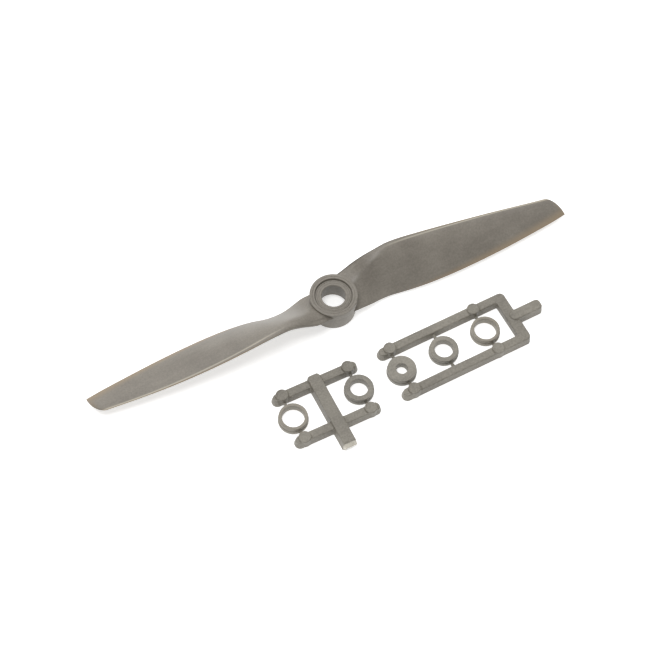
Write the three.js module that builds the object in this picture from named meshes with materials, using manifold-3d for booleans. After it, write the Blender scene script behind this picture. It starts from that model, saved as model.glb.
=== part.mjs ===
// A moulded two-blade electric-flight propeller, 5.5 in across, lying front face up on a flat surface, with the two
// moulded runner frames that carry its five shaft adapter rings.
// Millimetres, +Z up. The origin is on the bore's axis at the hub's rear face, and the blades lie along X.
import * as THREE from "three";
import { mergeVertices } from "three/addons/utils/BufferGeometryUtils.js";
import Module from "manifold-3d";

const wasm = await Module();
wasm.setup();

// Propeller
const DIAMETER = 139.7;
const PITCH = 114.3;
const TIP_LENGTH = 3.5; // the stretch where the leading edge sweeps back to the tip's corner

// Hub
const BORE = 6.35;
const HUB_HEIGHT = 7.2;
const COLLAR_RADIUS = 6.4;
const COLLAR_HEIGHT = 2.2;
const BOSS_RADIUS = 6.2;
const BOSS_DRAFT = 0.1;
const RECESS_RADIUS = 5.0;
const RECESS_DEPTH = 0.65;
const SEAT_RADIUS = 4.05; // the rear pocket that takes an adapter ring
const SEAT_DEPTH = 3.35;
const EDGE = 0.15;

// Adapter rings
const RING_RADIUS = 3.97;
const RING_HEIGHT = 2.36;
const RING_PITCH_METRIC = 12.7;
const RING_PITCH_INCH = 19.05;

// Runner frames
const RUNNER = { base: 3.3, top: 2.3, height: 2.3 };
const END_RUNNER = { base: 3.1, top: 2.3, height: 2.3 };
const END_RUNNER_X = 20.85; // from the middle ring
const SPINE = { base: 4.1, top: 3.4, height: 3.0 };
const TAIL = { base: 3.8, top: 2.9, height: 2.75 };
const RUNNER_OFFSET = 6.62; // from the rings' line to a runner's middle
const PAD_RADIUS = 1.75;
const PAD_HEIGHT = 2.9;
const GATE = { width: 0.9, low: 0.6, high: 1.5 };
const GAP = 0.3; // between pieces that touch

// Layout beside the propeller
const INCH_FRAME = { x: -14.66, y: -25.07, turn: 0 };
const METRIC_FRAME = { x: 20.14, y: -24.72, turn: THREE.MathUtils.degToRad(1.55) };

const nylon = (color) => new THREE.MeshStandardMaterial({ color, roughness: 0.52, metalness: 0 });

// ---- Solids -----------------------------------------------------------------------------------------------------

function solidOf(geometry) {
  const bare = geometry.clone();
  bare.deleteAttribute("normal");
  bare.deleteAttribute("uv");
  const merged = mergeVertices(bare, 1e-4);
  return new wasm.Manifold(
    new wasm.Mesh({
      numProp: 3,
      vertProperties: merged.attributes.position.array,
      triVerts: new Uint32Array(merged.index.array),
    }),
  );
}

function geometryOf(solid) {
  const { vertProperties, triVerts } = solid.getMesh();
  const geometry = new THREE.BufferGeometry();
  geometry.setAttribute("position", new THREE.BufferAttribute(vertProperties, 3));
  geometry.setIndex(new THREE.BufferAttribute(triVerts, 1));
  geometry.computeVertexNormals();
  return geometry;
}

// A closed profile of [radius, height] pairs, turned about Z. It runs anticlockwise: outwards along the bottom first.
function turned(profile, segments) {
  const points = profile.map(([radius, height]) => new THREE.Vector2(radius, height));
  return new THREE.LatheGeometry([...points, points[0]], segments).rotateX(Math.PI / 2);
}

// A closed skin over rings of points, all with the same count and each seen anticlockwise from the next one.
function loft(rings) {
  const count = rings[0].length;
  const vertices = rings.flat();
  const middles = [rings[0], rings.at(-1)].map((ring) =>
    ring.reduce((sum, p) => sum.add(p), new THREE.Vector3()).divideScalar(count),
  );
  const [first, last] = [vertices.length, vertices.length + 1];
  const top = (rings.length - 1) * count;
  const faces = [];
  for (let i = 0; i < count; i++) {
    const next = (i + 1) % count;
    faces.push(first, next, i, last, top + i, top + next);
    for (let row = 0; row < top; row += count) {
      faces.push(row + i, row + next, row + count + next);
      faces.push(row + i, row + count + next, row + count + i);
    }
  }
  const geometry = new THREE.BufferGeometry().setFromPoints([...vertices, ...middles]);
  geometry.setIndex(faces);
  geometry.computeVertexNormals();
  return geometry;
}

// ---- Propeller --------------------------------------------------------------------------------------------------

// Along the blade: distance from the axis, chord, the middle of the chord (forwards and up), thickness, camber, the
// belly that fills out the rear of the root, and the share of the helix angle that the chord is turned by.
const STATIONS = [
  [4, 11.1, 0.45, 4.6, 2.3, 0, 1.55, 0.2],
  [7, 11.7, 0.69, 4.92, 2.5, 0.05, 1.35, 0.29],
  [9, 12.1, 0.85, 5.14, 2.7, 0.1, 1.2, 0.43],
  [12, 12.9, 0.97, 5.71, 2.9, 0.15, 0.9, 0.69],
  [15, 13.65, 0.97, 6.11, 2.8, 0.2, 0.6, 0.88],
  [18, 14.3, 0.94, 6.19, 2.6, 0.3, 0.3, 0.98],
  [22, 14.3, 0.66, 6.13, 2.35, 0.38, 0.1, 1],
  [27, 13.9, 0.42, 5.7, 2.0, 0.42, 0, 1],
  [34, 13.1, 0.24, 5.05, 1.6, 0.46, 0, 1],
  [42, 11.9, 0.14, 4.37, 1.3, 0.42, 0, 1],
  [50, 10.45, 0.07, 3.8, 1.1, 0.37, 0, 1],
  [58, 8.65, 0, 3.35, 0.9, 0.3, 0, 1],
  [65, 6.95, -0.07, 3.08, 0.7, 0.24, 0, 1],
  [70, 5.6, 0, 2.95, 0.55, 0.2, 0, 1],
];
const alongBlade = new THREE.CubicInterpolant(
  STATIONS.map(([x]) => x),
  STATIONS.flatMap(([, ...values]) => values),
  STATIONS[0].length - 1,
);

// Half the thickness of a section, as a share of the chord, from the leading edge (0) to a blunt trailing edge (1).
function halfThickness(along, thickness) {
  const round = 0.2969 * Math.sqrt(along) - 0.126 * along;
  const tail = -0.3516 * along ** 2 + 0.2843 * along ** 3 - 0.0955 * along ** 4;
  return 5 * thickness * (round + tail);
}

function bladeSection(x) {
  const [fullChord, middleY, middleZ, thickness, camber, belly, helixShare] = alongBlade.evaluate(x);
  const twist = helixShare * Math.atan(PITCH / (2 * Math.PI * x));
  const intoTip = Math.max(0, (x - (DIAMETER / 2 - TIP_LENGTH)) / TIP_LENGTH);
  const chord = fullChord * Math.max(0.1, Math.sqrt(Math.max(0, 1 - intoTip ** 2)));
  const steps = 12;
  const place = (along, height) => {
    const forward = (1 - along) * chord - fullChord / 2; // measured so that the trailing edge stays put in the tip
    const y = middleY + forward * Math.cos(twist) - height * Math.sin(twist);
    const z = middleZ + forward * Math.sin(twist) + height * Math.cos(twist);
    return new THREE.Vector3(x, y, z);
  };
  const side = (sign) => (_, i) => {
    const along = (1 - Math.cos((Math.PI * i) / steps)) / 2;
    const middle = 4 * camber * along * (1 - along) * (chord / fullChord);
    const fill = sign < 0 ? belly * Math.sin(Math.PI * along) ** 2 : 0;
    return place(along, middle - fill + sign * fullChord * halfThickness(along, thickness / fullChord));
  };
  const upper = Array.from({ length: steps + 1 }, side(1));
  const lower = Array.from({ length: steps + 1 }, side(-1));
  return [...upper, ...lower.slice(1).reverse()];
}

function bladeGeometry() {
  const inner = [4, 6, 8, 10, 12, 14, 16, 18, 20.5, 23];
  const outer = [26, 30, 34, 38, 42, 46, 50, 54, 58, 62, 65, 67, 68.2, 69, 69.5, DIAMETER / 2];
  const sections = [...inner, ...outer].map(bladeSection);
  const cutRadius = COLLAR_RADIUS + GAP;
  const hubClearance = new THREE.CylinderGeometry(cutRadius, cutRadius, 40, 64).rotateX(Math.PI / 2);
  return geometryOf(solidOf(loft(sections)).subtract(solidOf(hubClearance)));
}

function hubGeometry() {
  const split = HUB_HEIGHT - COLLAR_HEIGHT;
  const recess = HUB_HEIGHT - RECESS_DEPTH;
  const bore = BORE / 2;
  const outside = [
    [SEAT_RADIUS, 0],
    [BOSS_RADIUS - BOSS_DRAFT - EDGE, 0],
    [BOSS_RADIUS - BOSS_DRAFT, EDGE],
    [BOSS_RADIUS, split],
    [COLLAR_RADIUS, split],
    [COLLAR_RADIUS, HUB_HEIGHT - EDGE],
    [COLLAR_RADIUS - EDGE, HUB_HEIGHT],
  ];
  const inside = [
    [RECESS_RADIUS, HUB_HEIGHT],
    [RECESS_RADIUS, recess],
    [bore, recess],
    [bore, SEAT_DEPTH],
    [SEAT_RADIUS, SEAT_DEPTH],
  ];
  return turned([...outside, ...inside], 48);
}

// ---- Adapter rings and runner frames ----------------------------------------------------------------------------

function ringGeometry(bore) {
  const inner = bore / 2;
  return turned(
    [
      [inner + EDGE, 0],
      [RING_RADIUS, 0],
      [RING_RADIUS, RING_HEIGHT / 2],
      [RING_RADIUS - 0.1, RING_HEIGHT - EDGE],
      [RING_RADIUS - 0.1 - EDGE, RING_HEIGHT],
      [inner + EDGE, RING_HEIGHT],
      [inner, RING_HEIGHT - EDGE],
      [inner, EDGE],
    ],
    32,
  );
}

// A plan outline along X from x0 to x1, with its own corner radius at each end, anticlockwise from above.
function outline(x0, x1, width, [radius0, radius1], z) {
  const steps = 4;
  const half = width / 2;
  const corners = [
    [x1, -half, radius1, -Math.PI / 2],
    [x1, half, radius1, 0],
    [x0, half, radius0, Math.PI / 2],
    [x0, -half, radius0, Math.PI],
  ];
  return corners.flatMap(([x, y, radius, start]) => {
    const r = Math.min(radius, half);
    const middle = [x - Math.sign(x - (x0 + x1) / 2) * r, y - Math.sign(y) * r];
    return Array.from({ length: steps + 1 }, (_, i) => {
      const angle = start + (Math.PI / 2) * (i / steps);
      return new THREE.Vector3(middle[0] + r * Math.cos(angle), middle[1] + r * Math.sin(angle), z);
    });
  });
}

// A runner along X, wider at its base than at its top. Each end has a place at the base, a place at the top and a
// corner radius.
function runner(section, start, end) {
  const base = outline(start.base, end.base, section.base, [start.radius, end.radius], 0);
  const top = outline(start.top, end.top, section.top, [start.radius, end.radius], section.height);
  return loft([base, top]);
}

const butt = (x) => ({ base: x, top: x, radius: 0.3 }); // an end against a neighbour
const tip = (x, section) => {
  const draft = (section.base - section.top) / 2;
  return { base: x, top: x - Math.sign(x) * draft, radius: section.base / 2 };
};

const pad = (x) =>
  new THREE.CylinderGeometry(PAD_RADIUS - 0.1, PAD_RADIUS, PAD_HEIGHT, 24)
    .rotateX(Math.PI / 2)
    .translate(x, 0, PAD_HEIGHT / 2);

// A gate from a runner at y = 0 towards a ring whose middle is RUNNER_OFFSET away, on the side given by its sign.
function gate(x, side) {
  const reach = RUNNER_OFFSET - RING_RADIUS - GAP;
  return new THREE.BoxGeometry(GATE.width, reach, GATE.high - GATE.low).translate(
    x,
    (side * reach) / 2,
    (GATE.low + GATE.high) / 2,
  );
}

function joined(geometries) {
  return geometryOf(geometries.map(solidOf).reduce((sum, solid) => sum.add(solid)));
}

// ---- Assembly ---------------------------------------------------------------------------------------------------

const part = new THREE.Group();

function add(group, name, geometry, material, x = 0, y = 0, turn = 0) {
  const mesh = new THREE.Mesh(geometry, material);
  mesh.name = name;
  mesh.position.set(x, y, 0);
  mesh.rotation.z = turn;
  group.add(mesh);
}

function frameGroup({ x, y, turn }) {
  const group = new THREE.Group();
  group.position.set(x, y, 0);
  group.rotation.z = turn;
  part.add(group);
  return group;
}

const propeller = nylon(0x8f8b80);
add(part, "hub", hubGeometry(), propeller);
add(part, "blade_right", bladeGeometry(), propeller);
add(part, "blade_left", bladeGeometry(), propeller, 0, 0, Math.PI);

// The inch frame: a spine between two rings, with an arm to each side at both ends of the rings.
const frameNylon = nylon(0x8a857a);
const ringNylon = nylon(0x98938a);
const inchFrame = frameGroup(INCH_FRAME);
const spineX = 0.12;
const tornEnd = { base: -13.2, top: -14.1, radius: 0.4 }; // where the spine was cut off the main runner
const spineTip = { base: 8.35, top: 8.2, radius: 0.8 };
add(inchFrame, "inch_spine", runner(SPINE, tornEnd, spineTip), frameNylon, spineX, 0, Math.PI / 2);
for (const [rowName, row] of [["far", 1], ["near", -1]]) {
  for (const [sideName, side] of [["left", -1], ["right", 1]]) {
    const start = SPINE.base / 2 + side * spineX + GAP;
    const ringX = RING_PITCH_INCH / 2;
    const arm = runner(RUNNER, butt(start), tip(12.45, RUNNER));
    const shape = joined([arm, pad(ringX), gate(ringX, -row * side)]);
    const turn = side > 0 ? 0 : Math.PI;
    add(inchFrame, `inch_arm_${rowName}_${sideName}`, shape, frameNylon, 0, row * RUNNER_OFFSET, turn);
  }
}
add(inchFrame, "adapter_ring_5_95mm", ringGeometry(5.95), ringNylon, -RING_PITCH_INCH / 2);
add(inchFrame, "adapter_ring_4_76mm", ringGeometry(4.76), ringNylon, RING_PITCH_INCH / 2);

// The metric frame: two long runners with three rings between them, an end runner across and a tail.
const metricFrame = frameGroup(METRIC_FRAME);
for (const [rowName, row] of [["far", 1], ["near", -1]]) {
  const rings = [-RING_PITCH_METRIC, 0, RING_PITCH_METRIC];
  const bar = runner(RUNNER, tip(-16.3, RUNNER), butt(END_RUNNER_X - END_RUNNER.base / 2 - GAP));
  const pads = [pad(rings[0]), pad(rings[2])];
  const gates = rings.map((x) => gate(x, -row));
  add(metricFrame, `metric_runner_${rowName}`, joined([bar, ...pads, ...gates]), frameNylon, 0, row * RUNNER_OFFSET);
}
const corner = (side) => ({
  base: side * (RUNNER_OFFSET + RUNNER.base / 2),
  top: side * (RUNNER_OFFSET + RUNNER.top / 2),
  radius: 1,
});
const endRunner = runner(END_RUNNER, corner(-1), corner(1));
add(metricFrame, "metric_end_runner", endRunner, frameNylon, END_RUNNER_X, 0, Math.PI / 2);
const tailStart = butt(END_RUNNER_X + END_RUNNER.base / 2 + GAP);
const tailEnd = { base: 29.5, top: 29.7, radius: 1 };
add(metricFrame, "metric_tail", runner(TAIL, tailStart, tailEnd), frameNylon);
add(metricFrame, "adapter_ring_3mm", ringGeometry(3), ringNylon, -RING_PITCH_METRIC);
add(metricFrame, "adapter_ring_5mm", ringGeometry(5), ringNylon);
add(metricFrame, "adapter_ring_6mm", ringGeometry(6), ringNylon, RING_PITCH_METRIC);

export default part;
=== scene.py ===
from bisect import bisect_right
from math import atan, atan2, copysign, cos, exp, hypot, log, pi, radians, sin, sqrt

import bmesh
import bpy
from mathutils import Matrix, Vector, noise


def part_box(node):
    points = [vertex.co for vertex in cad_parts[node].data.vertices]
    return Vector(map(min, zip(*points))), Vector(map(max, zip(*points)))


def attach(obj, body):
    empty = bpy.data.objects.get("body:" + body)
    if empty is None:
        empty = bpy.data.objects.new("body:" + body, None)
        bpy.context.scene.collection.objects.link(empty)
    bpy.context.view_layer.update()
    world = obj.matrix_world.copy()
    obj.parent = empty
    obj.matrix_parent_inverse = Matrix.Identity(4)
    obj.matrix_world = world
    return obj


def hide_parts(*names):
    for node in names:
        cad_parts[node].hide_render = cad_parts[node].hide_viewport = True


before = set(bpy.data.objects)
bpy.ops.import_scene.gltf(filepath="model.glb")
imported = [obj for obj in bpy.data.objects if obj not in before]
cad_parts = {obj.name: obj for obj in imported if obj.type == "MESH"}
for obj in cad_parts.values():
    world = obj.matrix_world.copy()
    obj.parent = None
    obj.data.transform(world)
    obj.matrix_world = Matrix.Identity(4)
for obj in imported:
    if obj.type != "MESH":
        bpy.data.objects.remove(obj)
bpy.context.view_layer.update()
print("frame loaded:", len(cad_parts), "nodes")


# Camera, floor and light

camera = {
    "lens": 104.63,                        # mm, on a 36 mm sensor
    "place": (-0.1242, -0.2116, 0.4393),   # m
    "azimuth": -30.0,                      # degrees, as are the next two
    "elevation": 61.34,
    "roll": 3.57,
}

studio = {
    "floorColor": "f6f6f6",
    "floorSize": 6.0,                      # m
    "floorDrop": 0.00002,                  # m; keeps the floor from flickering through the flat undersides
    "floorGlow": 0.52,                     # a lit table, which fills the shadows and the bore from below
    "world": 0.39,
    "softboxes": [                         # right, away and up as the camera sees them, then size and power
        {"name": "back", "place": (-0.3, 0.7, 0.9), "size": 1.7, "power": 9.2},
        {"name": "top", "place": (-0.12, -0.2, 1.08), "size": 0.36, "power": 4.0},
    ],
}


def setCamera():
    data = bpy.data.cameras.new("camera")
    data.lens = camera["lens"]
    data.sensor_width = 36
    made = bpy.data.objects.new("camera", data)
    turn = Matrix.Rotation(radians(camera["azimuth"]), 4, "Z")
    turn @= Matrix.Rotation(radians(90 - camera["elevation"]), 4, "X")
    turn @= Matrix.Rotation(radians(camera["roll"]), 4, "Z")
    made.matrix_world = Matrix.Translation(camera["place"]) @ turn
    bpy.context.scene.collection.objects.link(made)
    bpy.context.scene.camera = made


def linear(hexColor):
    parts = [int(hexColor[i:i + 2], 16) / 255 for i in (0, 2, 4)]
    return [p / 12.92 if p <= 0.04045 else ((p + 0.055) / 1.055) ** 2.4 for p in parts] + [1]


def addNode(tree, kind, inputs=None, **settings):
    made = tree.nodes.new("ShaderNode" + kind)
    for key, value in settings.items():
        setattr(made, key, value)
    for key, value in (inputs or {}).items():
        if isinstance(value, bpy.types.NodeSocket):
            tree.links.new(value, made.inputs[key])
        else:
            made.inputs[key].default_value = value
    return made


def setStudio():
    world = bpy.data.worlds.new("studio")
    world.use_nodes = True
    world.node_tree.nodes["Background"].inputs["Color"].default_value = (1, 1, 1, 1)
    world.node_tree.nodes["Background"].inputs["Strength"].default_value = studio["world"]
    bpy.context.scene.world = world
    bpy.context.scene.view_settings.view_transform = "Standard"

    bm = bmesh.new()
    bmesh.ops.create_grid(bm, x_segments=1, y_segments=1, size=studio["floorSize"] / 2)
    bmesh.ops.translate(bm, verts=bm.verts, vec=(0, 0, -studio["floorDrop"]))
    floor = toObject("floor", bm)
    matt = bpy.data.materials.new("mattPaper")    # no gloss, so the floor stays one even tone
    matt.use_nodes = True
    shader = matt.node_tree.nodes["Principled BSDF"]
    shader.inputs["Base Color"].default_value = linear(studio["floorColor"])
    shader.inputs["Roughness"].default_value = 1
    shader.inputs["Specular IOR Level"].default_value = 0
    shader.inputs["Emission Color"].default_value = (1, 1, 1, 1)
    shader.inputs["Emission Strength"].default_value = studio["floorGlow"]
    floor.data.materials.append(matt)

    toRow = Matrix.Rotation(radians(camera["azimuth"]), 4, "Z")
    for box in studio["softboxes"]:
        light = bpy.data.lights.new(box["name"], "AREA")
        light.shape = "DISK"
        light.size = box["size"]
        light.energy = box["power"]
        made = bpy.data.objects.new(box["name"], light)
        place = toRow @ Vector(box["place"])
        made.matrix_world = Matrix.Translation(place) @ place.to_track_quat("Z", "Y").to_matrix().to_4x4()
        bpy.context.scene.collection.objects.link(made)


# Mesh tools

def toObject(name, bm):
    mesh = bpy.data.meshes.new(name)
    bm.to_mesh(mesh)
    bm.free()
    made = bpy.data.objects.new(name, mesh)
    bpy.context.scene.collection.objects.link(made)
    return made


def evaluated(thing):
    # the mesh with its modifiers applied, as a new bmesh; the object goes
    bm = bmesh.new()
    bm.from_object(thing, bpy.context.evaluated_depsgraph_get())
    mesh = thing.data
    bpy.data.objects.remove(thing)
    bpy.data.meshes.remove(mesh)
    return bm


def combined(base, tool, operation):
    holder = toObject("base", base)
    other = toObject("tool", tool)
    modifier = holder.modifiers.new(operation, "BOOLEAN")
    modifier.operation = operation
    modifier.solver = "MANIFOLD"
    modifier.object = other
    bm = evaluated(holder)
    bpy.data.objects.remove(other)
    return bm


def fused(bm, voxel, rounds):
    # one skin round everything in bm, with every edge and inner corner rounded a little, as in a mould
    holder = toObject("solids", bm)
    modifier = holder.modifiers.new("skin", "REMESH")
    modifier.mode = "VOXEL"
    modifier.voxel_size = voxel
    bm = evaluated(holder)
    for _ in range(rounds):
        bmesh.ops.smooth_vert(bm, verts=bm.verts, factor=0.5,
                              use_axis_x=True, use_axis_y=True, use_axis_z=True)
    return bm


def roundedProfile(corners, steps=4):
    # corners are (radius, height, rounding); the first and last are kept sharp
    points = []
    for i, (r, z, rounding) in enumerate(corners):
        here = Vector((r, z))
        if rounding == 0 or i in (0, len(corners) - 1):
            points.append(here)
            continue
        toward = (Vector(corners[i - 1][:2]) - here).normalized()
        onward = (Vector(corners[i + 1][:2]) - here).normalized()
        start, end = here + toward * rounding, here + onward * rounding
        for step in range(steps + 1):
            t = step / steps
            points.append(start * (1 - t) ** 2 + here * 2 * t * (1 - t) + end * t ** 2)
    return points


def spun(points, steps, closed=False):
    bm = bmesh.new()
    verts = [bm.verts.new((p.x, 0, p.y)) for p in points]
    pairs = list(zip(verts, verts[1:])) + ([(verts[-1], verts[0])] if closed else [])
    edges = [bm.edges.new(pair) for pair in pairs]
    bmesh.ops.spin(bm, geom=verts + edges, cent=(0, 0, 0), axis=(0, 0, 1), angle=2 * pi, steps=steps,
                   use_merge=True, use_duplicate=False)
    bmesh.ops.remove_doubles(bm, verts=bm.verts, dist=1e-4)
    bmesh.ops.recalc_face_normals(bm, faces=bm.faces)
    return bm


def smoothStep(low, high, value):
    t = min(1, max(0, (value - low) / (high - low)))
    return t * t * (3 - 2 * t)


def finishPiece(name, bm, material, body, nodes, sharp=32):
    bmesh.ops.scale(bm, verts=bm.verts, vec=(0.001, 0.001, 0.001))
    for face in bm.faces:
        face.smooth = True
    piece = toObject(name, bm)
    piece.data.set_sharp_from_angle(angle=radians(sharp))
    piece.data.materials.append(material)
    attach(piece, body)
    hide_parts(*nodes)
    print(name, len(piece.data.polygons), "faces")
    return piece


def boxInMm(node):
    low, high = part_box(node)
    return low * 1000, high * 1000


# Nylon

nylonLook = {
    "cloudWidth": 9.0,       # mm, soft drifts of tone where the melt flowed
    "flowWidth": 1.1,        # mm across a flow streak
    "flowLength": 14.0,      # mm along it
    "flowShare": 0.35,
    "fleckWidth": 0.5,       # mm, glass fibre bundles just under the skin, drawn coarse enough to show
    "grainWidth": 0.16,      # mm, the mould's fine spark texture, drawn coarse enough to show
    "grainDepth": 0.004,     # mm
    "grainBump": 0.6,
    "patternLow": 0.9,       # the summed patterns run between these, from the dark tone to the light one
    "patternHigh": 1.5,
    "roughnessSpread": 0.05,
    "ior": 1.53,
}

propellerColors = {
    "light": "8a847a",
    "dark": "767067",
    "thin": "93846f",
    # on the propeller this colour is a painted highlight along the top of the blade's nose, partly the
    # mould's parting line
    "flashAndHighlight": "c2bbaa",
    "roughness": 0.45,
}

runnerColors = {
    "light": "8f8a7f",
    "dark": "716c62",
    "thin": "968d7b",
    "flashAndHighlight": "d4cfc2",
    "roughness": 0.46,
}

ringColors = {
    "light": "928d82",
    "dark": "747067",
    "thin": "978e7e",
    "flashAndHighlight": "b9b3a2",
    "roughness": 0.44,
}


def glassFilledNylon(name, colors):
    # Glass-filled nylon 6/6 from a spark-textured mould: a grey-green satin skin with faint flow streaks and
    # fibre flecks. Where the wall is thin, light gets through and it turns tan; flash and torn ends go pale.
    # The pale layer also carries a painted highlight along the top of the blade's nose.
    look = nylonLook
    material = bpy.data.materials.new(name)
    material.use_nodes = True
    tree = material.node_tree
    shader = tree.nodes["Principled BSDF"]
    place = addNode(tree, "TexCoord").outputs["Object"]

    def noiseOf(where, width, detail):
        scale = 1000 / width    # per metre, from a width in millimetres
        return addNode(tree, "TexNoise", {"Vector": where, "Scale": scale, "Detail": detail}).outputs["Fac"]

    cloud = noiseOf(place, look["cloudWidth"], 2.0)
    along = look["flowWidth"] / look["flowLength"]
    stretched = addNode(tree, "Mapping", {"Vector": place, "Scale": (along, 1, 1)}).outputs["Vector"]
    flow = noiseOf(stretched, look["flowWidth"], 3.0)
    fleck = noiseOf(place, look["fleckWidth"], 4.0)
    grain = noiseOf(place, look["grainWidth"], 2.0)

    drift = addNode(tree, "Math", {0: flow, 1: look["flowShare"], 2: cloud}, operation="MULTIPLY_ADD")
    drift = drift.outputs[0]
    drift = addNode(tree, "Math", {0: drift, 1: fleck}, operation="ADD").outputs[0]
    spread = {"Value": drift, "From Min": look["patternLow"], "From Max": look["patternHigh"]}
    tone = addNode(tree, "MapRange", spread).outputs[0]
    body = linear(colors["dark"])
    thin = addNode(tree, "Attribute", attribute_name="thin").outputs["Fac"]
    # pale layer: torn-end whitening on the runners, and a painted highlight along the blade's nose
    pale = addNode(tree, "Attribute", attribute_name="pale").outputs["Fac"]
    for factor, color in ((tone, "light"), (thin, "thin"), (pale, "flashAndHighlight")):
        layers = {"Factor": factor, 6: body, 7: linear(colors[color])}
        body = addNode(tree, "Mix", layers, data_type="RGBA").outputs[2]
    tree.links.new(body, shader.inputs["Base Color"])

    spread["To Min"] = colors["roughness"] - look["roughnessSpread"]
    spread["To Max"] = colors["roughness"] + look["roughnessSpread"]
    satin = addNode(tree, "MapRange", spread)
    tree.links.new(satin.outputs[0], shader.inputs["Roughness"])
    shader.inputs["IOR"].default_value = look["ior"]
    texture = addNode(tree, "Math", {0: grain, 1: fleck}, operation="ADD").outputs[0]
    relief = {"Height": texture, "Strength": look["grainBump"], "Distance": look["grainDepth"] / 1000}
    bump = addNode(tree, "Bump", relief)
    tree.links.new(bump.outputs["Normal"], shader.inputs["Normal"])
    return material


def paint(bm, name, value):
    # a number at each point of the mesh, for the material to read; value is a function of the point in mm
    layer = bm.verts.layers.float.get(name) or bm.verts.layers.float.new(name)
    for vert in bm.verts:
        vert[layer] = value(vert.co)


# Propeller

blade = {
    "pitch": 114.3,
    "tipSweep": 3.5,        # the stretch where the leading edge sweeps back to the tip's corner
    "tipEase": 0.45,        # the stretch where the tip's own edge thins off
    # distance from the axis, chord, the chord's middle forwards and up, thickness, camber, belly, helix share
    "stations": [
        (4, 11.1, 0.45, 4.6, 2.3, 0, 1.55, 0.2),
        (7, 11.7, 0.69, 4.92, 2.5, 0.05, 1.35, 0.29),
        (9, 12.1, 0.85, 5.14, 2.7, 0.1, 1.2, 0.43),
        (12, 12.9, 0.97, 5.71, 2.9, 0.15, 0.9, 0.69),
        (15, 13.65, 0.97, 6.11, 2.8, 0.2, 0.6, 0.88),
        (18, 14.3, 0.94, 6.19, 2.6, 0.3, 0.3, 0.98),
        (22, 14.3, 0.66, 6.13, 2.35, 0.38, 0.1, 1),
        (27, 13.9, 0.42, 5.7, 2.0, 0.42, 0, 1),
        (34, 13.1, 0.24, 5.05, 1.6, 0.46, 0, 1),
        (42, 11.9, 0.14, 4.37, 1.3, 0.42, 0, 1),
        (50, 10.45, 0.07, 3.8, 1.1, 0.37, 0, 1),
        (58, 8.65, 0, 3.35, 0.9, 0.3, 0, 1),
        (65, 6.95, -0.07, 3.08, 0.7, 0.24, 0, 1),
        (70, 5.6, 0, 2.95, 0.55, 0.2, 0, 1),
    ],
    "sideSteps": 64,
    "rootStart": 2.4,       # inside the hub
    "flashReach": 0.15,     # the parting line's flash, ahead of the leading edge
    "flashShare": 0.3,      # its thickness, as a share of the nose's
    "lineNear": 0.55,       # behind the leading edge on the front, a pale line: a painted highlight along the top of the nose, partly the mould's parting line
    "lineFar": 0.14,
    "lineWidth": 0.22,
    "lipWidth": 1.3,        # the shoulder along the leading edge at the root
    "lipDrop": 0.28,
    "lipEnd": 15.0,
    "crestStart": 6.0,      # at the root the front has a soft ridge, which runs out into the leading edge
    "crestAlong": 0.42,
    "crestRun": 8.0,
    "crestEnd": 21.0,
    "crestRise": 1.15,      # its height, as a share of the section's half thickness
    "crestRound": 0.18,
    "tipThin": 0.6,         # how tan the tip turns
    "linePale": 0.65,       # how pale the painted highlight line is
}

hub = {
    "bore": 6.35,
    "collarHeight": 2.2,
    "bossRadius": 6.2,
    "bossDraft": 0.1,
    "recessRadius": 5.0,
    "recessDepth": 0.5,
    "gutter": 0.24,         # the width of the groove round the recess's floor
    "gutterDepth": 0.25,
    "seatRadius": 4.05,
    "seatDepth": 3.35,
    "seatChamfer": 0.25,
    "boreChamfer": 0.3,
    "edge": 0.15,
    "neck": 0.3,            # the depth of the narrow neck under the collar
    "groove": 0.07,         # fine turned rings on the rim and on the recess's floor
    "floorGrooves": (3.85, 4.4),
    "rimGrooves": (5.62,),
    "steps": 144,
}


def bladeAt(x):
    rows = blade["stations"]
    i = min(max(bisect_right([row[0] for row in rows], x) - 1, 0), len(rows) - 2)
    before, here, after, last = rows[max(i - 1, 0)], rows[i], rows[i + 1], rows[min(i + 2, len(rows) - 1)]
    span = after[0] - here[0]
    t = (max(x, rows[0][0]) - here[0]) / span
    values = []
    for k in range(1, len(here)):
        slopeHere = (after[k] - before[k]) / (after[0] - before[0]) * span
        slopeAfter = (last[k] - here[k]) / (last[0] - here[0]) * span
        values.append((2 * t ** 3 - 3 * t ** 2 + 1) * here[k] + (t ** 3 - 2 * t ** 2 + t) * slopeHere
                      + (3 * t ** 2 - 2 * t ** 3) * after[k] + (t ** 3 - t ** 2) * slopeAfter)
    return values


def halfThickness(along, thickness):
    nose = 0.2969 * sqrt(along) - 0.126 * along
    return 5 * thickness * (nose - 0.3516 * along ** 2 + 0.2843 * along ** 3 - 0.0955 * along ** 4)


def roofHeight(along, crest, height):
    # two slopes that meet in a rounded ridge
    front = min(1, along / crest)
    rise = height * (0.5 * along / crest + 0.5 * sqrt(front * (2 - front)))
    fall = height * (1 - along) / (1 - crest)
    return rise - blade["crestRound"] * log(1 + exp((rise - fall) / blade["crestRound"]))


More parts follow.
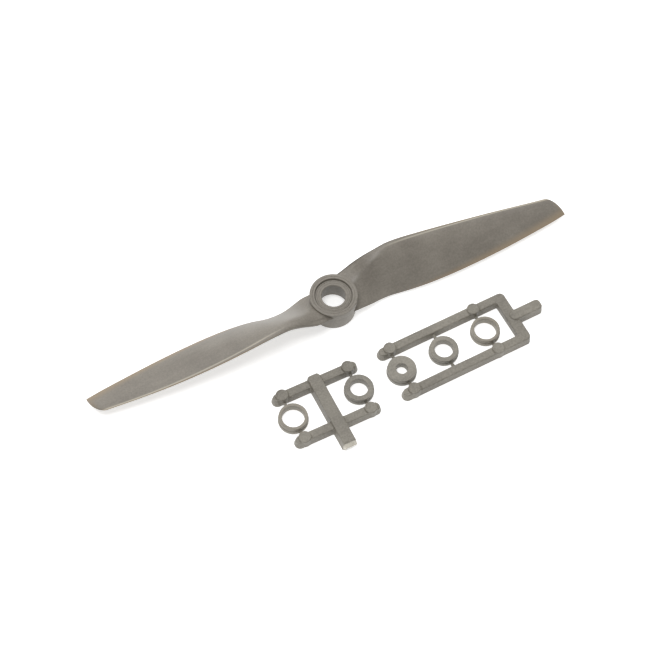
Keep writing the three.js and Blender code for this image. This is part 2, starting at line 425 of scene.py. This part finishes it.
def bladeSection(x, tipX):
    fullChord, midY, midZ, thickness, camber, belly, helixShare = bladeAt(x)
    twist = helixShare * atan(blade["pitch"] / (2 * pi * max(x, blade["stations"][0][0])))
    intoTip = max(0, (x - (tipX - blade["tipSweep"])) / blade["tipSweep"])
    share = max(0.1, sqrt(max(0, 1 - intoTip ** 2)))
    thickness *= sqrt(max(0.05, 1 - max(0, 1 - (tipX - x) / blade["tipEase"]) ** 2))
    lipWidth = blade["lipWidth"] * (1 - smoothStep(6, blade["lipEnd"], x))
    chord = fullChord * share
    steps = blade["sideSteps"]
    crest = blade["crestAlong"] * exp((blade["crestStart"] - x) / blade["crestRun"])
    crestShare = 1 - smoothStep(12, blade["crestEnd"], x)
    crestHeight = blade["crestRise"] * halfThickness(min(crest, 0.3), thickness) + blade["crestRound"] * 0.6

    def point(forward, height):
        forward -= fullChord / 2
        y = midY + forward * cos(twist) - height * sin(twist)
        z = midZ + forward * sin(twist) + height * cos(twist)
        return Vector((x, y, z))

    def side(sign):
        points = []
        for i in range(1, steps + 1):
            along = (1 - cos(pi * i / steps)) / 2
            half = halfThickness(along, thickness)
            if sign > 0 and crestShare > 0:
                half += crestShare * (roofHeight(along, crest, crestHeight) - half)
            height = 4 * camber * along * (1 - along) * share + sign * half
            if sign < 0:
                height -= belly * sin(pi * along) ** 2
            elif lipWidth > 0.1:
                onLip = 1 - smoothStep(lipWidth - 0.3, lipWidth, along * chord)
                height -= blade["lipDrop"] * onLip * min(1, lipWidth)
            points.append(point((1 - along) * chord, height))
        return points

    fin = halfThickness((1 - cos(pi * 2 / steps)) / 2, thickness) * blade["flashShare"]
    reach = blade["flashReach"] * smoothStep(5, 9, x)
    nose = [point(chord + reach * ahead, up * fin * 0.8) for ahead, up in ((0.9, -1), (1, 0), (0.9, 1))]
    upper, lower = side(1), side(-1)
    return nose + upper + lower[-2::-1]


def loftedBlade(tipX):
    inner = [blade["rootStart"] + 0.25 * i for i in range(64)]                 # to 18 mm
    outer = [18.4 + 0.48 * i for i in range(101)]                              # to 66.4 mm
    tip = [tipX - blade["tipSweep"] * cos(pi / 2 * i / 24) for i in range(2, 25)]
    bm = bmesh.new()
    loops = []
    for x in inner + [v for v in outer if v < tip[0] - 0.1] + tip:
        section = bladeSection(x, tipX)
        ring = bmesh.ops.create_circle(bm, segments=len(section), radius=1)["verts"]
        for vert, place in zip(ring, section):
            vert.co = place
        loops.append(ring)
    for near, far in zip(loops, loops[1:]):
        edges = {edge for vert in far for edge in vert.link_edges}
        edges |= {edge for vert in near for edge in vert.link_edges if len(edge.link_faces) < 2}
        bmesh.ops.bridge_loops(bm, edges=list(edges))
    bmesh.ops.holes_fill(bm, edges=[edge for edge in bm.edges if edge.is_boundary], sides=0)
    bmesh.ops.recalc_face_normals(bm, faces=bm.faces)
    return bm


def hubSolid(low, high):
    top = high.z
    radius = high.x
    split = top - hub["collarHeight"]
    edge = hub["edge"]
    rim = []
    for r in sorted(hub["rimGrooves"], reverse=True):
        rim += [(r + hub["groove"], top, 0), (r, top - hub["groove"], 0), (r - hub["groove"], top, 0)]
    neck = hub["bossRadius"] - hub["neck"]
    corners = [(0, low.z, 0), (hub["bossRadius"] - hub["bossDraft"], low.z, edge),
               (hub["bossRadius"], split - 0.3, 0.06), (neck, split - 0.2, 0.05), (neck, split + 0.05, 0.05),
               (radius, split, 0.1), (radius, top, edge)] + rim + [(0, top, 0)]
    return spun(roundedProfile(corners), hub["steps"])


def hubCore(low, high):
    # everything that is hollow in the hub: the rear pocket, the bore and the front recess
    top = high.z
    floorZ = top - hub["recessDepth"]
    bore = hub["bore"] / 2
    reach = 1.0    # how far the cut runs past both faces
    chamfer = hub["boreChamfer"]
    turned = []
    groove = hub["groove"]
    for r in hub["floorGrooves"]:
        turned += [(r - groove, floorZ, 0), (r, floorZ - groove, 0), (r + groove, floorZ, 0)]
    recess = hub["recessRadius"]
    seat, depth, flare, edge = hub["seatRadius"], hub["seatDepth"], hub["seatChamfer"], hub["edge"]
    corners = [(0, low.z - reach, 0), (seat + flare + reach, low.z - reach, 0),
               (seat + flare, low.z, 0), (seat, low.z + flare, 0), (seat, depth, 0.08),
               (bore + chamfer, depth, 0),
               (bore, depth + chamfer, 0), (bore, floorZ - edge, 0), (bore + edge, floorZ, 0)]
    gutter = recess - hub["gutter"]
    corners += turned + [(gutter, floorZ, 0.04), (gutter + 0.04, floorZ - hub["gutterDepth"], 0.03),
                         (recess - 0.04, floorZ - hub["gutterDepth"], 0.03), (recess, top - 0.1, 0),
                         (recess + 0.1 + reach, top + reach, 0), (0, top + reach, 0)]
    return spun(roundedProfile(corners), hub["steps"])


def wallAt(point):
    # at a point on a blade: the wall's thickness, how far behind the leading edge, the height over the chord
    x, y, z = (point.x, point.y, point.z) if point.x > 0 else (-point.x, -point.y, point.z)
    fullChord, midY, midZ, thickness, _, belly, helixShare = bladeAt(x)
    twist = helixShare * atan(blade["pitch"] / (2 * pi * max(x, blade["stations"][0][0])))
    behind = fullChord / 2 - (y - midY) * cos(twist) - (z - midZ) * sin(twist)
    height = (z - midZ) * cos(twist) - (y - midY) * sin(twist)
    along = min(1, max(0, behind / fullChord))
    return 2 * halfThickness(along, thickness) + belly * sin(pi * along) ** 2, behind, height


def makePropeller(material):
    low, high = boxInMm("hub")
    tipX = boxInMm("blade_right")[1].x
    bm = hubSolid(low, high)
    right = loftedBlade(tipX)
    left = right.copy()
    bmesh.ops.rotate(left, verts=left.verts, cent=(0, 0, 0), matrix=Matrix.Rotation(pi, 3, "Z"))
    for side in (right, left):
        bm = combined(bm, side, "UNION")
    bm = combined(bm, hubCore(low, high), "DIFFERENCE")

    def thin(point):
        wall = wallAt(point)[0]
        x = abs(point.x)
        atTip = blade["tipThin"] * smoothStep(tipX - 2.2, tipX - 0.1, x)
        return max(atTip, (1 - smoothStep(0.12, 0.55, wall)) * smoothStep(14, 34, x))

    # painted highlight: a pale line along the top of the blade's nose, partly the mould's parting line, on
    # the front face only
    def pale(point):
        _, behind, height = wallAt(point)
        x = abs(point.x)
        line = blade["lineNear"] + (blade["lineFar"] - blade["lineNear"]) * smoothStep(18, 62, x)
        close = 1 - smoothStep(0.08, blade["lineWidth"], abs(behind - line))
        return blade["linePale"] * close * smoothStep(14, 26, x) if height > 0 else 0.0

    paint(bm, "thin", thin)
    paint(bm, "pale", pale)
    nodes = ["hub", "blade_right", "blade_left"]
    finishPiece("propellerMoulding", bm, material, "propeller", nodes)


# Adapter rings

ring = {
    "edge": 0.14,
    "innerEdge": 0.16,
    "waist": 0.13,         # the parting line's step, half way up
    "steps": 96,
    "thin": 0.7,           # how tan the thinnest ring turns
}


def boreOf(node, centre):
    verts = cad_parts[node].data.vertices
    return min(hypot(v.co.x * 1000 - centre.x, v.co.y * 1000 - centre.y) for v in verts)


def makeRing(node, material):
    low, high = boxInMm(node)
    centre = (low + high) / 2
    outer = (high.x - low.x) / 2
    inner = boreOf(node, centre)
    half = (low.z + high.z) / 2
    edge, waist = ring["edge"], ring["waist"]
    bore = [(inner, half, 0), (inner, low.z, ring["innerEdge"])]
    below = [(outer, low.z, edge), (outer, half - 0.1, 0.03), (outer - 2 * waist, half, 0.03)]
    above = [(outer - waist, half + 0.12, 0.03), (outer - waist - 0.03, high.z, edge)]
    corners = bore + below + above + [(inner, high.z, ring["innerEdge"]), (inner, half + 0.2, 0)]
    bm = spun(roundedProfile(corners), ring["steps"], closed=True)
    bmesh.ops.translate(bm, verts=bm.verts, vec=(centre.x, centre.y, 0))
    thinness = ring["thin"] * (1 - smoothStep(0.6, 1.4, outer - inner))
    paint(bm, "thin", lambda point: thinness)
    name = "adapterRing" + node.removeprefix("adapter_ring").removesuffix("mm")
    return finishPiece(name, bm, material, node.removeprefix("adapter_"), [node])


# Runner frames

runner = {"base": 3.3, "top": 2.3, "height": 2.3}
endRunner = {"base": 3.1, "top": 2.3, "height": 2.3}
spine = {"base": 4.1, "top": 3.4, "height": 3.0}
tail = {"base": 3.8, "top": 2.9, "height": 2.75}

runnerFrame = {
    "offset": 6.62,          # from the rings' line to a runner's middle
    "padRadius": 1.75,
    "padHeight": 2.9,
    "padDish": 0.09,
    "gateWidth": 0.95,
    "gateLow": 0.5,
    "gateHigh": 1.5,
    "gateLap": 0.03,         # how far a gate runs into its ring
    "voxel": 0.12,
    "rounds": 7,
}


def addBar(bm, section, start, end, place, roundStart=False, roundEnd=False, lean=0.0, corner=0.0):
    # a drafted bar along X; a round end is half a cone, and corner rounds a square end's upright edges
    x0 = start + (section["base"] / 2 if roundStart else 0)
    x1 = end - (section["base"] / 2 if roundEnd else 0)
    made = bmesh.ops.create_cube(bm, size=1)["verts"]
    for vert in made:
        isTop = vert.co.z > 0
        width = section["top"] if isTop else section["base"]
        vert.co.x = (x1 if vert.co.x > 0 else x0 - (lean if isTop else 0))
        vert.co.y = copysign(width / 2, vert.co.y)
        vert.co.z = section["height"] if isTop else 0
    if corner:
        uprights = {edge for vert in made for edge in vert.link_edges
                    if abs(edge.verts[0].co.z - edge.verts[1].co.z) > 0.1 and edge.verts[0].co.x > x1 - 0.1}
        made += bmesh.ops.bevel(bm, geom=list(uprights), offset=corner, segments=6, affect="EDGES",
                                profile=0.5, material=-1)["verts"]
    for x, wanted in ((x0, roundStart), (x1, roundEnd)):
        if wanted:
            made += bmesh.ops.create_cone(bm, cap_ends=True, segments=48, radius1=section["base"] / 2,
                                          radius2=section["top"] / 2, depth=section["height"],
                                          matrix=Matrix.Translation((x, 0, section["height"] / 2)))["verts"]
    bmesh.ops.transform(bm, matrix=place, verts=list({vert for vert in made if vert.is_valid}))


def addPad(bm, place):
    radius, height = runnerFrame["padRadius"], runnerFrame["padHeight"]
    bmesh.ops.create_cone(bm, cap_ends=True, segments=64, radius1=radius, radius2=radius - 0.1, depth=height,
                          matrix=place @ Matrix.Translation((0, 0, height / 2)))


def addGate(bm, place, reach):
    # from the middle of a runner along +Y to a ring, narrowing on the way
    made = bmesh.ops.create_cube(bm, size=1)["verts"]
    for vert in made:
        atRing = vert.co.y > 0
        vert.co.x = copysign(runnerFrame["gateWidth"] / 2 * (0.7 if atRing else 1.25), vert.co.x)
        vert.co.y = reach if atRing else 0
        high = runnerFrame["gateHigh"] - (0.25 if atRing else -0.3)
        vert.co.z = high if vert.co.z > 0 else runnerFrame["gateLow"] + (0.2 if atRing else 0)
    bmesh.ops.transform(bm, matrix=place, verts=made)


def dishPads(bm, middles):
    for vert in bm.verts:
        if vert.co.z < runnerFrame["padHeight"] - 0.15:
            continue
        for middle in middles:
            away = hypot(vert.co.x - middle.x, vert.co.y - middle.y)
            if away < runnerFrame["padRadius"]:
                vert.co.z -= runnerFrame["padDish"] * (1 - smoothStep(1.2, 1.45, away))


def localFrame(firstRing, lastRing, middle):
    # where a runner frame lies: its middle, and the turn of its line of rings
    line = lastRing - firstRing
    return Matrix.Translation((middle.x, middle.y, 0)) @ Matrix.Rotation(atan2(line.y, line.x), 4, "Z")


def ringMiddle(node):
    low, high = boxInMm(node)
    return (low + high) / 2


spineEnds = {"lean": 0.9, "corner": 0.8}    # the torn end's top overhangs; the other end has rounded corners


def makeInchFrame(material):
    left, right = ringMiddle("adapter_ring_5_95mm"), ringMiddle("adapter_ring_4_76mm")
    place = localFrame(left, right, (left + right) / 2)
    half = (right - left).length / 2
    ringLow, ringHigh = boxInMm("adapter_ring_4_76mm")
    outer = (ringHigh.x - ringLow.x) / 2
    spineLow, spineHigh = boxInMm("inch_spine")
    armEnd = boxInMm("inch_arm_far_right")[1].x - (left.x + right.x) / 2
    spineMiddle = (spineLow.x + spineHigh.x) / 2 - (left.x + right.x) / 2
    nearEnd, farEnd = spineLow.y - left.y, spineHigh.y - left.y
    bm = bmesh.new()
    along = Matrix.Translation((spineMiddle, 0, 0)) @ Matrix.Rotation(pi / 2, 4, "Z")
    lean = spineEnds["lean"]
    addBar(bm, spine, nearEnd + lean, farEnd, along, lean=lean, corner=spineEnds["corner"])
    pads = []
    for row in (1, -1):
        for sideways in (1, -1):
            turn = Matrix.Translation((0, row * runnerFrame["offset"], 0))
            turn @= Matrix.Rotation(0 if sideways > 0 else pi, 4, "Z")
            addBar(bm, runner, 0, armEnd, turn, roundEnd=True)
            addPad(bm, turn @ Matrix.Translation((half, 0, 0)))
            pads.append(Vector((sideways * half, row * runnerFrame["offset"])))
            towards = Matrix.Rotation(0 if row * sideways < 0 else pi, 4, "Z")
            spot = turn @ Matrix.Translation((half, 0, 0)) @ towards
            addGate(bm, spot, runnerFrame["offset"] - outer + runnerFrame["gateLap"])
    bm = fused(bm, runnerFrame["voxel"], runnerFrame["rounds"])
    dishPads(bm, pads)
    tearSpine(bm, nearEnd, spineMiddle)
    bmesh.ops.transform(bm, matrix=place, verts=bm.verts)
    arms = [f"inch_arm_{row}_{side}" for row in ("far", "near") for side in ("left", "right")]
    nodes = ["inch_spine"] + arms
    finishPiece("inchRunnerFrame", bm, material, "inch_frame", nodes, sharp=60)


torn = {
    "reach": 1.15,      # how far from the end the top skin was drawn out
    "drop": 0.95,
    "ragged": 0.28,
    "bite": 0.9,        # a bite out of the end's right side
    "biteAcross": 0.75,
    "pale": 0.9,
}


def tearSpine(bm, nearEnd, spineMiddle):
    # the end where the spine was snapped off: its top skin is drawn out, ragged and pale
    layer = bm.verts.layers.float.new("pale")
    bite = Vector((spineMiddle + torn["biteAcross"], nearEnd + 0.1, 2.2))
    for vert in bm.verts:
        rough = noise.noise(vert.co * 1.1) + 0.5 * noise.noise(vert.co * 3.1)
        inward = vert.co.y - nearEnd + 0.35 * rough
        if inward > torn["reach"] * 1.5:
            continue
        pulled = max(0, 1 - inward / torn["reach"])
        sideways = (vert.co.x - spineMiddle) / spine["base"] * 2
        vert.co.y += torn["ragged"] * rough * min(1, pulled * 2) + 0.35 * pulled * sideways ** 4
        vert.co.z -= (0.12 + torn["drop"] * pulled) * smoothStep(1.0, 2.6, vert.co.z) if pulled else 0
        close = max(0, 1 - (vert.co - bite).length / torn["bite"])
        vert.co.y += 0.5 * smoothStep(0, 0.8, close)
        vert.co.z -= 0.35 * smoothStep(0, 1, close)
        vert[layer] = torn["pale"] * smoothStep(0, 0.3, pulled) * smoothStep(0.2, 0.9, vert.co.z)


metricFrame = {
    # along the line of rings, from the middle one
    "freeEnd": -16.3,
    "acrossX": 20.85,
    "tailEnd": 29.7,
    "tailNose": 0.9,      # how far the tail's round nose laps over the end runner
    "corner": 1.4,
    "tailCorner": 1.0,
    "swell": (1.9, 2.3, 1.1),      # half the size of the lump where the tail meets the end runner
    "swellPlace": (0.2, 0, 1.45),
}


def makeMetricFrame(material):
    rings = [ringMiddle("adapter_ring_" + size) for size in ("3mm", "5mm", "6mm")]
    place = localFrame(rings[0], rings[2], rings[1])
    pitch = (rings[2] - rings[0]).length / 2
    ringLow, ringHigh = boxInMm("adapter_ring_5mm")
    toRing = runnerFrame["offset"] - (ringHigh.x - ringLow.x) / 2
    freeEnd, acrossX, tailEnd = metricFrame["freeEnd"], metricFrame["acrossX"], metricFrame["tailEnd"]
    offset = runnerFrame["offset"]
    bm = bmesh.new()
    pads = []
    for row in (1, -1):
        line = Matrix.Translation((0, row * offset, 0))
        addBar(bm, runner, freeEnd, acrossX, line, roundStart=True)
        for x in (-pitch, 0, pitch):
            spot = line @ Matrix.Translation((x, 0, 0))
            towards = Matrix.Rotation(0 if row < 0 else pi, 4, "Z")
            addGate(bm, spot @ towards, toRing + runnerFrame["gateLap"])
            if x:
                addPad(bm, spot)
                pads.append(Vector((x, row * offset)))
    outside = offset + runner["base"] / 2
    crosswise = {"base": 2 * outside, "top": 2 * outside - 1, "height": endRunner["height"]}
    reach = endRunner["base"] / 2
    addBar(bm, crosswise, acrossX - reach, acrossX + reach, Matrix.Identity(4), corner=metricFrame["corner"])
    addBar(bm, tail, acrossX - metricFrame["tailNose"], tailEnd, Matrix.Identity(4), roundStart=True,
           corner=metricFrame["tailCorner"])
    swell = bmesh.ops.create_uvsphere(bm, u_segments=32, v_segments=16, radius=1)["verts"]
    bmesh.ops.scale(bm, verts=swell, vec=metricFrame["swell"])
    pastEnd, sideways, up = metricFrame["swellPlace"]
    bmesh.ops.translate(bm, verts=swell, vec=(acrossX + pastEnd, sideways, up))
    bm = fused(bm, runnerFrame["voxel"], runnerFrame["rounds"])
    dishPads(bm, pads)
    bmesh.ops.transform(bm, matrix=place, verts=bm.verts)
    nodes = ["metric_runner_far", "metric_runner_near", "metric_end_runner", "metric_tail"]
    finishPiece("metricRunnerFrame", bm, material, "metric_frame", nodes, sharp=60)


# Everything in order

setCamera()
setStudio()
print("camera and studio set")
makePropeller(glassFilledNylon("nylonPropellerSatin", propellerColors))
ringNylon = glassFilledNylon("nylonRingSatin", ringColors)
for size in ("5_95mm", "4_76mm", "3mm", "5mm", "6mm"):
    makeRing("adapter_ring_" + size, ringNylon)
runnerNylon = glassFilledNylon("nylonRunnerSatin", runnerColors)
makeInchFrame(runnerNylon)
makeMetricFrame(runnerNylon)
